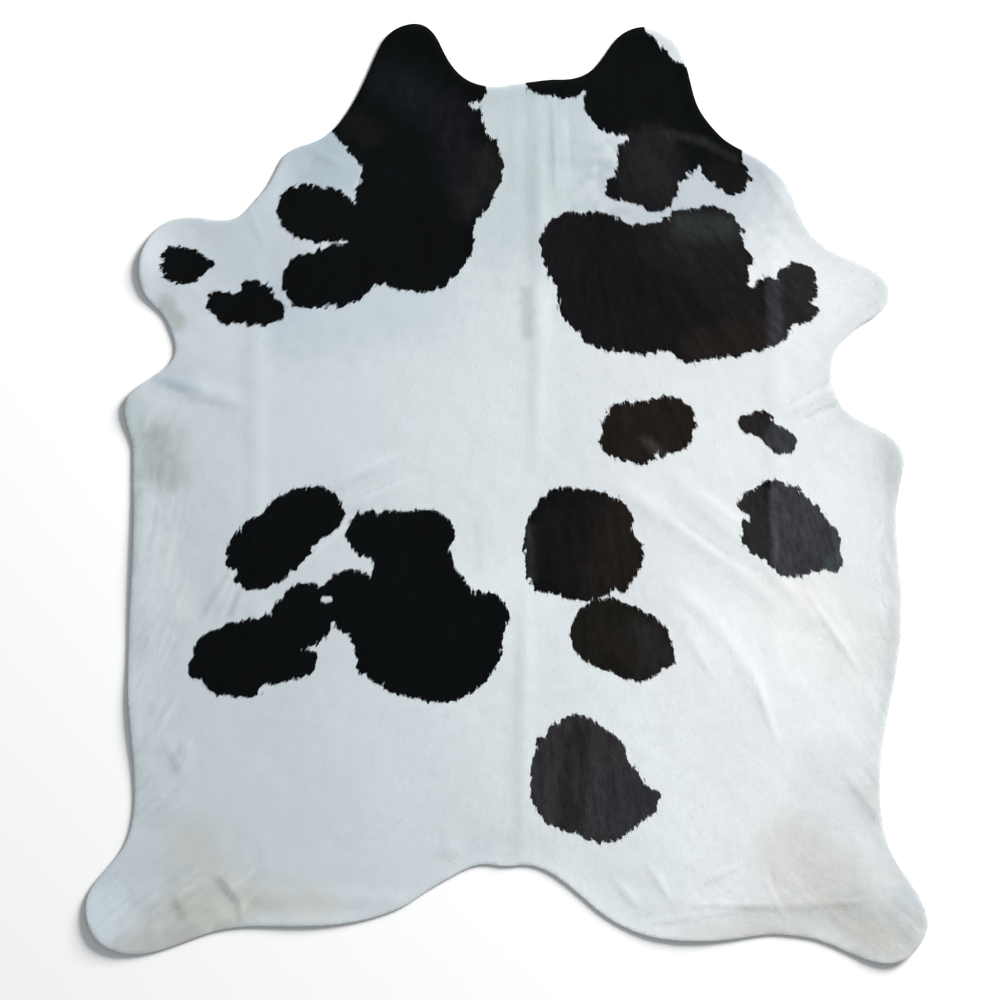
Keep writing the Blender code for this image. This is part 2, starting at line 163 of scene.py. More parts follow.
# Black patches of the coat. Those at the rim run on past it.
BLACK = [Blot(*row) for row in (
    # Left ear.
    ("main", 405, 40, 80, 408, 110, 72),
    ("back", 360, 117, 22, 389, 166, 25),
    ("back tip", 340, 122, 14, 352, 129, 15),
    ("corner", 468, 85, 18, 471, 90, 14),
    # Left neck.
    ("bulge", 431, 159, 67, 432, 165, 69.5),
    ("main", 424, 215, 50, 425, 235, 49.5),
    ("foot", 395, 235, 50, 407, 246, 45),
    ("heel", 422, 277, 16, 438, 279, 10),
    ("bay side", 373, 178, 10.5, 370, 193, 10.5),
    # Left shoulder.
    ("high lobe", 305, 211.5, 27, 331, 217.5, 28.5),
    ("high root", 331, 217.5, 28.5, 385, 216, 26),
    ("low lobe", 308, 283, 25.5, 340, 276, 28.5),
    ("low crown", 326, 268, 19, 345, 263, 20),
    ("low corner", 302, 276, 18, 318, 269.5, 18),
    ("low root", 340, 276, 28, 380, 253, 25),
    # Poll.
    ("main", 541, 77, 17, 565, 80, 19),
    ("end", 569, 80, 16, 572, 81, 15),
    # Right ear.
    ("tip", 640, 45, 42, 628, 90, 44),
    ("main", 640, 60, 40, 690, 100, 46),
    ("back", 700, 90, 45, 713, 138, 40),
    ("low corner", 606, 106, 20, 610, 114, 18),
    # Right neck.
    ("outer lobe", 712, 152, 24, 732, 177, 17.5),
    ("main", 650, 125, 32, 647.5, 161, 30.8),
    ("middle", 690, 120, 36, 680, 140, 32),
    ("low side", 668, 150, 22, 671, 163, 17),
    ("low step", 674, 168, 14, 676, 170, 12.5),
    ("foot", 643, 178, 27, 654, 187, 23.8),
    ("toe", 617, 188, 12.5, 630, 187, 14),
    # Right shoulder.
    ("top left", 571, 244, 31, 600, 245, 32),
    ("side", 590, 265, 36, 592, 301, 33.5),
    ("left step", 563, 261, 18, 566, 269, 16.5),
    ("valley", 618, 262, 37.5, 652, 262.5, 38.5),
    ("valley rise", 660, 246.5, 24.5, 682, 243.5, 27.5),
    ("top right", 690, 246, 37, 709, 240, 34),
    ("bump", 728, 232, 9, 734, 231, 8),
    ("right", 709, 254, 33, 710, 288, 36),
    ("middle", 640, 295, 52, 700, 290, 60),
    ("bottom left", 610, 314, 36, 645, 317, 37.5),
    ("bottom", 697, 322, 40, 727, 320, 36),
    ("bottom right", 727, 320, 36, 758, 318, 31.5),
    ("heel", 767, 322, 23, 774, 325, 17.5),
    ("arm root", 755, 305, 26, 785, 300, 23),
    ("arm", 797, 284, 21, 798, 303, 21),
    # Left foreleg.
    ("main", 178, 267, 16.5, 187, 267, 17),
    ("crown", 171, 255, 7, 183, 252, 6),
    ("point", 197, 263, 13, 211, 264, 3.5),
    # Left armpit.
    ("left lobe", 219, 303, 12, 228, 308, 16),
    ("main", 240, 308, 15, 258, 309, 17),
    ("crown", 254, 292, 12, 260, 293, 11),
    ("right", 262, 306, 17, 274, 312, 10),
    # Right ribs.
    ("main", 630, 430, 27.5, 650, 430, 28.5),
    ("right", 650, 430, 28.5, 668, 424, 27),
    ("heel", 612, 444, 11.5, 640, 453, 11),
    ("toe", 672, 443, 10, 681, 446, 6),
    # Right belly.
    ("left", 748, 425, 9, 761, 423.5, 12.5),
    ("main", 768, 430, 10, 783, 442, 13),
    # Left flank.
    ("main", 257, 561, 29.5, 279, 540, 31.5),
    ("side", 251, 555, 24.5, 262, 545, 27),
    ("middle", 279, 540, 31.5, 298, 519, 29.5),
    ("upper", 298, 519, 29.5, 318, 512, 25),
    # Loin.
    ("high lobe", 371, 535, 23.5, 428, 536, 26),
    ("neck", 411.5, 556, 39.5, 416, 590, 42.5),
    ("neck flare", 442, 583, 17, 451, 587, 15.5),
    ("main", 415, 639, 57.5, 438, 641, 61.5),
    ("left side", 374, 644, 20.5, 380, 656, 24.5),
    ("right side", 470, 640, 32, 481, 620, 27.5),
    ("right corner", 488, 607, 13, 494, 609, 11.5),
    ("bridge", 349, 600, 30, 374, 612, 33),
    # Left hip.
    ("high lobe", 305, 607, 24, 315, 617, 22),
    ("high step", 287, 613, 14, 290, 613, 14),
    ("low corner", 312, 626, 15, 316, 628, 14),
    ("root", 328, 608, 20, 340, 604, 22),
    ("point", 196, 670, 9, 213, 667, 22),
    ("low end", 221, 658, 28, 246, 658, 37),
    ("low edge", 222, 676, 19, 240, 678, 19.5),
    ("main", 246, 658, 37, 280, 646, 33),
    ("low lobe", 280, 660, 21, 297, 658, 20),
    # Right loin.
    ("high", 566, 516, 29, 600, 524, 30),
    ("corner", 605, 520, 23, 611, 520, 22),
    ("right side", 606, 556, 33, 610, 557, 33),
    ("left side", 557, 540, 33, 559, 553, 36),
    ("low", 578, 560, 38, 588, 563, 37),
    ("low corners", 541, 573, 13, 546, 578, 13),
    ("low edge", 550, 578, 15, 575, 580, 18),
    ("low right corner", 619, 579, 12, 621, 582, 10),
    ("spur", 537, 516, 7.5, 544, 524, 15),
    # Right rump.
    ("main", 605, 633, 34.5, 636.5, 646.5, 34.5),
    ("corner", 654, 650, 18.5, 663, 656, 12),
    # Tail head.
    ("top", 576, 746, 31, 588, 758, 32),
    ("main", 578, 775, 46, 576, 786, 45.5),
    ("right side", 600, 757, 25, 606, 768, 23),
    ("low", 583, 791, 43, 602, 798, 44),
    ("right lobe", 618, 803, 28, 636, 802, 21),
    ("right point", 645, 800, 14, 653, 797, 6.5),
    ("spur", 538, 738, 2, 546, 744, 7),
    ("left side", 544, 745, 7, 550, 762, 17),
    # Right flank.
    ("top", 773, 507, 26, 784, 512, 27),
    ("left lobe", 750, 502, 11, 765, 508, 18),
    ("left side", 765, 520, 22, 768, 534, 25.5),
    ("main", 792, 530, 34, 792, 549, 28),
    ("right side", 790, 523, 28, 811, 544, 29),
    ("corner", 822, 553, 18.5, 830, 560, 12),
)]

# White bays, notches and specks in them.
WHITE = [Blot(*row) for row in (
    # Left ear.
    ("notch", 493, 106, 8.5, 468, 104, 1.6),
    # Left neck.
    ("nick", 493, 112, 11.5, 495, 130, 10.5),
    ("bay tip", 346, 181, 12, 354, 202, 1.5),
    # Left shoulder.
    ("sliver", 318, 247.5, 2.8, 352, 240.4, 1.3),
    ("sliver mouth", 292, 250.5, 7.5, 313, 248.3, 3.6),
    # Right ear.
    ("white tip", 671, 23, 25, 694, 42, 27),
    # Right neck.
    ("left notch", 606, 140.5, 9.5, 632, 138.5, 0.8),
    ("low bay", 697, 194, 12, 699, 166, 2.5),
    ("rim nick", 751, 156, 10, 751, 158, 9),
    # Right shoulder.
    ("fold notch", 757, 272, 10, 751, 286, 2),
    ("arm notch", 824, 301, 6, 812, 302, 2.5),
    ("heel notch", 797, 327, 4, 788, 322.5, 1.5),
    # Right ribs.
    ("nick", 656, 456, 3, 659, 450, 1.5),
    # Left flank.
    ("nick", 226, 574, 7, 233, 573, 4),
    ("step", 315, 562, 9, 309, 558, 4),
    # Loin.
    ("right step", 480, 579, 9, 488, 588, 5.5),
    ("cleft", 352, 562, 6, 368, 566, 3),
    # Left hip.
    ("crown notch", 324, 577, 8, 322, 586, 2),
    ("eye", 323, 600, 2.5, 329, 600, 2.5),
    ("bay", 336, 670, 16, 333, 624, 1.5),
    ("cleft", 322, 647.5, 4.5, 303, 649, 0.8),
    ("low notch", 276, 694, 10, 266, 690, 6),
    # Right loin.
    ("left gap", 560, 605, 8, 589, 602, 1.2),
    ("right gap", 634, 597, 5, 607, 595.5, 1),
    # Right flank.
    ("left notch", 739, 519, 5, 747, 518, 2.5),
    ("low notch", 814, 578, 6, 812, 570, 2),
)]

# Where the coat is coarser.
COARSE = [Blot(*row) for row in (
    ("left belly", 152, 430, 26, 152, 790, 32),
    ("left hind leg", 130, 900, 34, 240, 890, 26),
    ("right belly", 885, 470, 14, 880, 800, 18),
    ("right hind leg", 800, 880, 20, 895, 925, 30),
)]

# A place where the hair's lie is known, by its heading: 0 to the right, -90 to the tail.
Guide = namedtuple("Guide", "name x y heading reach")

HAIR_LIE = [Guide(*row) for row in (
    ("nape", 532, 109, -90, 105),
    ("withers", 532, 272, -90, 95),
    ("back", 527, 443, -90, 95),
    ("loin", 523, 622, -90, 95),
    ("croup", 523, 802, -90, 95),
    ("left ear", 412, 45, -105, 85),
    ("right ear", 656, 54, -72, 85),
    ("left neck", 344, 169, -125, 95),
    ("right neck", 711, 169, -55, 95),
    ("left foreleg", 156, 255, -165, 110),
    ("right foreleg", 890, 255, -15, 110),
    ("left shoulder", 301, 310, -122, 105),
    ("right shoulder", 745, 310, -58, 105),
    ("left ribs", 322, 477, -112, 105),
    ("right ribs", 711, 477, -66, 105),
    ("left belly", 168, 511, -93, 85),
    ("right belly", 869, 511, -86, 85),
    ("left flank", 207, 635, -114, 105),
    ("right flank", 831, 635, -64, 105),
    ("left rump", 365, 733, -108, 105),
    ("right rump", 677, 733, -72, 105),
    ("left hind leg", 198, 861, -140, 110),
    ("right hind leg", 848, 887, -40, 110),
)]

# A soft ridge along a run, or a trough where its rise is negative, in millimetres across and up.
Crease = namedtuple("Crease", "name x_start y_start x_end y_end half_width rise")

CREASES = [Crease(*row) for row in (
    # Left fan.
    ("first", 333, 487, 391, 456, 8, 1.35),
    ("second", 352, 506, 404, 481, 7, 1.05),
    ("third", 300, 566, 352, 520, 8, 1.4),
    ("fourth", 270, 594, 308, 560, 8, 1.1),
    # Left hip.
    ("first", 203, 613, 230, 573, 7, 1.1),
    ("second", 217, 617, 240, 578, 6, 0.9),
    ("third", 232, 617, 248, 590, 7, 0.6),
    # Left foreleg bay.
    ("first", 160, 378, 205, 392, 8, 0.8),
    ("second", 175, 392, 250, 404, 9, 0.6),
    # Right bay.
    ("first", 786, 411, 832, 385, 9, 1.0),
    ("second", 800, 418, 846, 399, 8, -0.6),
    ("third", 838, 372, 822, 398, 8, 0.7),
    # Long pulls on the right.
    ("between", 668, 512, 742, 566, 9, -0.7),
    ("upper", 700, 492, 760, 538, 9, 0.6),
    ("outer", 806, 590, 858, 668, 8, 0.9),
    # Arcs on the right.
    ("inner", 690, 640, 716, 680, 8, 0.6),
    ("outer", 752, 668, 776, 740, 9, 0.7),
    # Right hem.
    ("first", 648, 863, 671, 900, 8, 0.75),
    ("long", 642, 921, 732, 909, 7, 0.6),
    ("upper line", 690, 902, 790, 906, 7, 0.9),
    ("outer line", 790, 906, 868, 899, 7, 0.8),
    ("pinch", 768, 884, 782, 916, 6, 0.9),
    ("second", 612, 876, 640, 907, 8, 0.6),
    ("third", 700, 880, 742, 862, 8, 0.6),
    ("fourth", 770, 866, 776, 905, 8, -0.5),
    # Left hem and hock.
    ("hem", 262, 838, 268, 872, 8, 0.5),
    ("hock, first", 217, 874, 241, 902, 6, 1.1),
    ("hock, second", 176, 896, 185, 913, 6, 0.8),
    ("hock, stem", 241, 900, 242, 926, 6, 1.0),
    # Belly and waist.
    ("left pucker", 166, 738, 182, 770, 8, 0.9),
    ("right waist", 842, 768, 878, 816, 9, 0.65),
    ("right waist, second", 860, 766, 888, 806, 8, -0.3),
    # Neck.
    ("left line", 553, 98, 556, 190, 5, 0.7),
    ("groove", 568, 104, 572, 188, 6, -0.5),
    ("right side", 754, 162, 792, 218, 10, 0.2),
    ("left side", 246, 200, 268, 250, 9, 0.5),
    ("left rumple", 312, 149, 342, 163, 7, 0.8),
)]

# A soft-edged place on the coat and a colour for it.
Shade = namedtuple("Shade", "name x_start y_start x_end y_end radius soft red green blue")

# What the white hair's colour is multiplied by: real stains, soil and rust, and also painted shade and
# painted light, as the groups below say.
STAINS_AND_PAINTED_LIGHT = [Shade(*row) for row in (
    # Neck and throat, darker and cooler; the neck row is painted shade.
    ("neck", 520, 90, 520, 190, 40, 90, 0.8, 0.84, 0.845),
    ("neck, right side", 580, 105, 582, 150, 8, 40, 0.89, 0.91, 0.935),
    ("throat, right", 662, 202, 722, 178, 20, 86, 0.695, 0.735, 0.77),
    ("throat, left", 335, 140, 338, 165, 12, 60, 0.77, 0.825, 0.86),
    # Left front: darker under the shoulder and by the armpit, a warm stain at the foreleg's rim, and painted
    # shade along the crease in the foreleg's bay.
    ("shoulder, low", 300, 322, 425, 300, 14, 50, 0.88, 0.91, 0.935),
    ("armpit", 165, 290, 175, 372, 6, 30, 0.9, 0.91, 0.925),
    ("shoulder", 300, 160, 260, 250, 20, 80, 0.885, 0.895, 0.925),
    ("foreleg rim", 166, 303, 178, 322, 3, 11, 0.76, 0.75, 0.70),
    ("foreleg bay", 158, 378, 196, 388, 1, 7, 0.86, 0.88, 0.93),
    # Left belly and flank: soil and lighter tufts, lighter bands, darker towards the rim, and painted shade
    # along the flank's two creases and the pucker.
    ("corner", 128, 396, 146, 466, 6, 30, 0.83, 0.85, 0.835),
    ("soil", 165, 438, 170, 472, 1, 34, 0.8, 0.795, 0.75),
    ("tufts", 174, 425, 178, 452, 0, 12, 1.05, 1.05, 1.05),
    ("light band", 158, 540, 152, 680, 2, 20, 1.05, 1.05, 1.055),
    ("edge", 128, 500, 140, 800, 6, 30, 0.90, 0.90, 0.90),
    ("edge, top", 128, 500, 132, 560, 2, 20, 0.89, 0.9, 0.9),
    ("rim", 124, 436, 129, 520, 3, 12, 0.86, 0.87, 0.88),
    ("flank band", 168, 545, 182, 610, 4, 16, 1.06, 1.04, 1.02),
    ("flank, second crease", 239, 590, 231, 613, 0, 5, 0.82, 0.825, 0.83),
    ("flank, first crease", 227, 575, 206, 612, 0, 5, 0.83, 0.835, 0.84),
    ("pucker", 182, 752, 176, 768, 1, 9, 0.90, 0.90, 0.88),
    # Left hind leg: beige soil and a brownish mark, darker along the lower edges, painted shade in the hock's
    # creases and a painted highlight beside the stem.
    ("leg", 196, 850, 222, 900, 8, 46, 0.965, 0.93, 0.865),
    ("foot", 150, 925, 200, 915, 6, 36, 0.95, 0.91, 0.85),
    ("foot, lower edge", 120, 948, 196, 934, 3, 16, 0.88, 0.85, 0.82),
    ("hock, lower edge", 222, 927, 232, 926, 2, 9, 0.88, 0.88, 0.88),
    ("hem", 256, 898, 318, 905, 6, 26, 0.955, 0.925, 0.865),
    ("tip", 104, 890, 124, 915, 8, 34, 0.97, 0.985, 1.01),
    ("mark", 176, 882, 184, 914, 1, 12, 0.94, 0.925, 0.885),
    ("hock, first crease", 219, 877, 239, 900, 0, 5, 0.87, 0.87, 0.86),
    ("hock, stem", 240, 908, 243, 926, 0, 5, 0.86, 0.86, 0.85),
    ("hock, light", 226, 906, 236, 912, 2, 12, 1.09, 1.09, 1.08),
    ("hock, second crease", 178, 898, 185, 912, 0, 4, 0.9, 0.895, 0.88),
    # Back and neck: painted shade, thin dark lines along the folds by the spine and a wrinkle on the loin.
    ("strong line", 526, 292, 527, 334, 2, 8, 0.8, 0.825, 0.8),
    ("upper line", 530, 92, 532, 208, 2, 9, 0.9, 0.915, 0.91),
    ("middle line", 533, 345, 531, 470, 1, 7, 0.955, 0.965, 0.96),
    ("low line", 520, 590, 519, 850, 1, 8, 0.955, 0.96, 0.955),
    ("loin mark", 477, 520, 480, 566, 1, 5, 0.92, 0.93, 0.93),
    ("left line", 511, 95, 511, 190, 1, 6, 0.96, 0.965, 0.96),
    # Right side: darker in the bay, at the belly's corner and edge and on the buttock, a warmer belly, and
    # painted shade along the waist's crease.
    ("shoulder bay", 838, 340, 850, 325, 2, 14, 0.90, 0.91, 0.93),
    ("belly corner", 892, 448, 896, 470, 6, 22, 0.87, 0.88, 0.87),
    ("belly edge", 896, 500, 894, 640, 2, 14, 0.955, 0.955, 0.95),
    ("buttock", 830, 780, 832, 880, 14, 46, 0.91, 0.92, 0.925),
    ("belly warmth", 800, 590, 850, 640, 16, 40, 1.00, 0.985, 0.965),
    ("waist", 862, 790, 876, 810, 4, 18, 0.88, 0.88, 0.87),
    # Right hind leg: beige soil and rust flecks, a cooler foot and tip, darker along the lower edges, and
    # painted shade along the hem's crease line.
    ("leg", 790, 850, 830, 880, 14, 40, 0.91, 0.875, 0.84),
    ("corner", 870, 915, 915, 945, 14, 44, 0.87, 0.855, 0.81),
    ("tip", 905, 905, 918, 940, 4, 24, 0.9, 0.92, 0.94),
    ("hem", 760, 920, 880, 920, 8, 34, 0.90, 0.895, 0.88),
    ("hem, line", 740, 907, 866, 903, 0, 5, 0.945, 0.94, 0.93),
    ("hem, rust", 770, 886, 792, 906, 0, 8, 0.955, 0.915, 0.88),
    ("hem, lower edge", 690, 936, 800, 936, 3, 17, 0.86, 0.84, 0.81),
    ("foot, lower edge", 815, 948, 862, 960, 3, 16, 0.87, 0.86, 0.84),
    ("foot, cool", 850, 897, 896, 903, 6, 26, 1.03, 1.05, 1.09),
    # Tail.
    ("hem", 480, 850, 540, 850, 6, 26, 0.95, 0.955, 0.96),
    # Painted light: pools of light painted onto the back, the ribs and the rump.
    ("right rump", 740, 700, 790, 800, 60, 120, 1.1, 1.1, 1.095),
    ("right ribs", 690, 480, 760, 600, 40, 80, 1.05, 1.045, 1.04),
    ("back", 480, 440, 490, 570, 30, 80, 1.055, 1.06, 1.06),
    ("rump", 510, 640, 635, 850, 46, 90, 1.08, 1.085, 1.08),
    ("left rump", 405, 720, 455, 850, 36, 80, 1.035, 1.045, 1.045),
)]

# Painted sheen: the colour that black hair is drawn towards there, lighter and greyer where the lamp's light
# would glint off the hair; the brown and rust rows are the hair's own tint.
PAINTED_SHEEN_AND_RUST = [Shade(*row) for row in (
    # Left ear.
    ("main", 398, 84, 430, 104, 2, 34, 0.0048, 0.0062, 0.0082),
    ("back", 350, 118, 372, 134, 3, 18, 0.004, 0.0048, 0.0055),
    # Left neck.
    ("band", 446, 112, 470, 192, 3, 30, 0.005, 0.0058, 0.0078),
    ("brown", 488, 158, 490, 178, 2, 22, 0.0105, 0.0099, 0.0096),
    ("main", 470, 194, 468, 202, 2, 22, 0.0085, 0.009, 0.01),
    # Right neck.
    ("main", 648, 156, 650, 196, 16, 28, 0.011, 0.011, 0.013),
    ("arc", 664, 132, 702, 140, 0, 7, 0.015, 0.0165, 0.0165),
    ("arc end", 702, 140, 734, 158, 0, 7, 0.015, 0.0165, 0.0165),
    ("lobe", 722, 172, 734, 180, 8, 14, 0.005, 0.0055, 0.005),
    # Right shoulder.
    ("main", 590, 290, 690, 300, 76, 44, 0.005, 0.0046, 0.0056),
    ("slope", 676, 236, 726, 262, 12, 40, 0.0095, 0.0092, 0.0095),
    ("grey", 684, 224, 726, 228, 2, 22, 0.02, 0.0225, 0.0235),
    ("side", 722, 270, 742, 325, 8, 34, 0.0085, 0.008, 0.0078),
    ("rust", 704, 344, 760, 334, 6, 24, 0.0125, 0.0096, 0.0086),
    ("arm", 806, 280, 806, 345, 38, 5, 0.0135, 0.0135, 0.0145),
    ("arm step", 773, 284, 775, 346, 4, 7, 0.03, 0.0285, 0.033),
    # Right ribs.
    ("main", 636, 430, 676, 426, 24, 26, 0.0105, 0.008, 0.0066),
    ("streak", 644, 440, 658, 450, 0, 9, 0.032, 0.029, 0.027),
    # Right belly.
    ("main", 745, 425, 770, 428, 12, 10, 0.0130, 0.0115, 0.0115),
    ("tip", 778, 436, 790, 444, 10, 8, 0.031, 0.033, 0.036),
    # Right loin.
    ("main", 580, 540, 590, 550, 36, 30, 0.0052, 0.005, 0.0048),
    ("left strip", 529, 526, 531, 578, 1, 8, 0.02, 0.02, 0.021),
    ("rust", 626, 512, 616, 575, 10, 40, 0.0108, 0.0086, 0.0072),
    # Right rump.
    ("main", 600, 632, 640, 648, 30, 24, 0.0082, 0.008, 0.0064),
    ("right side", 646, 636, 652, 654, 8, 22, 0.015, 0.0142, 0.0138),
    ("rust", 606, 640, 618, 652, 6, 22, 0.011, 0.0092, 0.0074),
    # Tail head.
    ("main", 590, 780, 600, 800, 60, 30, 0.0265, 0.0262, 0.029),
    ("dark streak", 577, 735, 570, 825, 4, 14, 0.015, 0.015, 0.0155),
    ("thin light", 577, 745, 576, 800, 0, 5, 0.024, 0.0235, 0.025),
    ("light", 616, 800, 645, 805, 14, 24, 0.026, 0.0265, 0.032),
    # Right flank.
    ("main", 808, 500, 808, 570, 36, 8, 0.0365, 0.037, 0.043),
    ("left", 745, 500, 752, 545, 18, 8, 0.0185, 0.018, 0.019),
    ("step", 774, 494, 776, 556, 0, 8, 0.056, 0.058, 0.064),
    ("green rim", 836, 556, 832, 566, 3, 8, 0.042, 0.052, 0.053),
)]


# ---- fields over the hide

def in_view(points):
    """Places in the view of points on the model."""
    return points / VIEW_STEP + VIEW_ORIGIN


def along_stroke(points, stroke):
    """How far each point lies from the stroke's middle line, and its share of the way along it."""
    start = np.array((stroke.x_start, stroke.y_start), float)
    run = np.array((stroke.x_end, stroke.y_end), float) - start
    share = np.clip((points - start) @ run / max(run @ run, 1e-9), 0.0, 1.0)
    away = np.linalg.norm(points - start - share[:, None] * run, axis=1)
    return away, share


def outside_blot(points, blot):
    """How far each point lies from a blot, below zero inside it."""
    away, share = along_stroke(points, blot)
    return away - (blot.r_start + share * (blot.r_end - blot.r_start))


def melted(one, other, reach):
    """The smaller of two distances, rounded off where they meet."""
    mix = np.clip(0.5 + 0.5 * (other - one) / reach, 0.0, 1.0)
    return other * (1.0 - mix) + one * mix - reach * mix * (1.0 - mix)


def outside_black(points):
    """How far each point lies from the black patches, below zero inside them."""
    outside = np.full(len(points), FAR_OUTSIDE)
    for blot in BLACK:
        outside = melted(outside, outside_blot(points, blot), PATCH_MELT)
    for blot in WHITE:
        outside = -melted(-outside, outside_blot(points, blot), BAY_MELT)
    outside -= PATCH_GROWTH
    near = np.flatnonzero(np.abs(outside) < RAGGED_WITHIN)
    tufts = streaks(points[near], TUFT)
    wander = lattice_noise(points[near], WANDER)
    outside[near] += TUFT_REACH * tufts + WANDER_REACH * wander
    return outside


def smooth_step(share):
    share = np.clip(share, 0.0, 1.0)
    return share * share * (3.0 - 2.0 * share)


def lattice_noise(points, noise):
    """Smooth noise from -1 to 1 over the plane."""
    values = np.random.default_rng(noise.seed).uniform(-1.0, 1.0, (LATTICE, LATTICE))
    scaled = points / noise.size
    low = np.floor(scaled).astype(int)
    part = smooth_step(scaled - low)
    x, y = low[:, 0] % LATTICE, low[:, 1] % LATTICE
    x_next, y_next = (x + 1) % LATTICE, (y + 1) % LATTICE
    bottom = values[x, y] * (1 - part[:, 0]) + values[x_next, y] * part[:, 0]
    top = values[x, y_next] * (1 - part[:, 0]) + values[x_next, y_next] * part[:, 0]
    return bottom * (1 - part[:, 1]) + top * part[:, 1]


def hair_lie(points):
    """Direction in which the hair lies at each point."""
    lie = np.zeros_like(points)
    for guide in HAIR_LIE:
        square = ((points - (guide.x, guide.y)) ** 2).sum(axis=1)
        weight = np.exp(-square / guide.reach ** 2) + FAR_GUIDE / (1.0 + square / guide.reach ** 2)
        heading = math.radians(guide.heading)
        lie += weight[:, None] * (math.cos(heading), math.sin(heading))
    return lie / np.linalg.norm(lie, axis=1)[:, None]


def streaks(points, noise):
    """Noise drawn out along the hair."""
    total = lattice_noise(points, noise)
    for way in (1.0, -1.0):
        place = points.copy()
        for _ in range(noise.steps):
            place = place + way * noise.step * hair_lie(place) * (1.0, -1.0)
            total += lattice_noise(place, noise)
    return total / math.sqrt(2 * noise.steps + 1)


def coat_tones(points):
    """Colours that white hair and black hair are given at each point, with painted shade, painted light and
    painted sheen in them.
    """
    # Painted shade: the white darkens from the right to the left.
    across = smooth_step((points[:, 0] - WHITE_START) / WHITE_REACH)[:, None]
    white = WHITE_LEFT_SHADED + across * (WHITE_RIGHT - WHITE_LEFT_SHADED)
    black = np.repeat(BLACK_HAIR[None, :], len(points), axis=0)
    patchy = lattice_noise(points, PATCHY)
    # Stains multiply the white, and so do painted shade and painted light.
    for stain_or_light in STAINS_AND_PAINTED_LIGHT:
        white = white * (1.0 + shade_weight(points, stain_or_light, patchy) * (shade_colour(stain_or_light) - 1.0))
    # Painted sheen draws the black towards grey; the brown and rust rows are the hair's own tint.
    for sheen_or_rust in PAINTED_SHEEN_AND_RUST:
        black = black + shade_weight(points, sheen_or_rust, patchy) * (shade_colour(sheen_or_rust) - black)
    streak = streaks(points, STREAK)[:, None]
    fine_streak = streaks(points, FINE_STREAK)[:, None]
    cloud = lattice_noise(points, CLOUD)[:, None]
    coarse = SMOOTH_COAT + COARSE_STREAK * coarseness(points)[:, None]
    white = white * (1.0 + coarse * streak + WHITE_FINE_SHARE * coarse * fine_streak + WHITE_CLOUD * cloud)
    black = black * (1.0 + BLACK_STREAK * streak + BLACK_FINE_STREAK * fine_streak + BLACK_CLOUD * cloud)
    return white, black


def coarseness(points):
    """How coarse the coat is at each point, from 0 to 1: it roughens towards the belly and the hocks."""
    total = np.zeros(len(points))
    for blot in COARSE:
        total = np.maximum(total, smooth_step(0.5 - outside_blot(points, blot) / COARSE_FADE))
    return total


def shade_colour(shade):
    return np.array((shade.red, shade.green, shade.blue))


def shade_weight(points, shade, patchy):
    """How much of a shade each point takes on: all inside it, none beyond its soft edge."""
    away, _ = along_stroke(points, shade)
    away = away + PATCHY_REACH * shade.soft * patchy
    return smooth_step(0.5 - (away - shade.radius - 0.5 * shade.soft) / shade.soft)[:, None]


def crease_rise(points):
    """Height, in metres, that the finer creases add at each point."""
    wave_start, wave_part = CREASE_WAVE
    total = np.zeros(len(points))
    for crease in CREASES:
        away, share = along_stroke(points, crease)
        fade = np.sin(math.pi * (wave_start + wave_part * share))
        total += crease.rise * MM * fade * np.exp(-(away * VIEW_WIDTH / crease.half_width) ** 2)
    return total


# ---- the solid's rim and folds

CURVE_PARTS = 24
FACING_DOWN = -0.5
MICROMETRES = 1e6
PLUMB_START = 0.1
NEAR_FLESH_SIDE = 3.0 * MM
NEAR_HAIR_SIDE = 6.0 * MM


def solid_arrays(node):
    """Points and triangles of the solid, with the points shared between its triangles."""
    mesh = node.data
    raw = np.empty(3 * len(mesh.vertices))
    mesh.vertices.foreach_get("co", raw)
    raw = raw.reshape(-1, 3)
    mesh.calc_loop_triangles()
    corners = np.empty(3 * len(mesh.loop_triangles), dtype=np.int32)
    mesh.loop_triangles.foreach_get("vertices", corners)
    _, first, shared = np.unique(np.round(raw * MICROMETRES).astype(np.int64), axis=0,
                                 return_index=True, return_inverse=True)
    return raw[first], shared.ravel()[corners].reshape(-1, 3)


def flesh_side(node):
    """Points of the solid, triangles of its under side, and the points of its rim in order."""
    points, corners = solid_arrays(node)
    one, two, three = (points[corners[:, column]] for column in range(3))
    normals = np.cross(two - one, three - one)
    normals /= np.linalg.norm(normals, axis=1)[:, None]
    under = corners[normals[:, 2] < FACING_DOWN]
    runs = {tuple(run) for pair in ((0, 1), (1, 2), (2, 0)) for run in under[:, pair].tolist()}
    after = {start: end for start, end in runs if (end, start) not in runs}
    loop = [min(after)]
    while after[loop[-1]] != loop[0]:
        loop.append(after[loop[-1]])
    return points, under, loop[::-1]


def closed_curve(points, step):
    """Points at even steps on a smooth closed curve through the given ones."""
    before, after, beyond = np.roll(points, 1, 0), np.roll(points, -1, 0), np.roll(points, -2, 0)
    pieces = []
    for share in np.linspace(0.0, 1.0, CURVE_PARTS, endpoint=False):
        pieces.append(0.5 * (2.0 * points + (after - before) * share
                             + (2.0 * before - 5.0 * points + 4.0 * after - beyond) * share ** 2
                             + (3.0 * points - before - 3.0 * after + beyond) * share ** 3))
    dense = np.stack(pieces, axis=1).reshape(-1, points.shape[1])
    closed = np.vstack((dense, dense[:1]))
    run = np.concatenate(((0.0,), np.cumsum(np.linalg.norm(np.diff(closed[:, :2], axis=0), axis=1))))
    places = np.linspace(0.0, run[-1], int(round(run[-1] / step)), endpoint=False)
    return np.stack([np.interp(places, run, closed[:, axis]) for axis in range(points.shape[1])], axis=1)


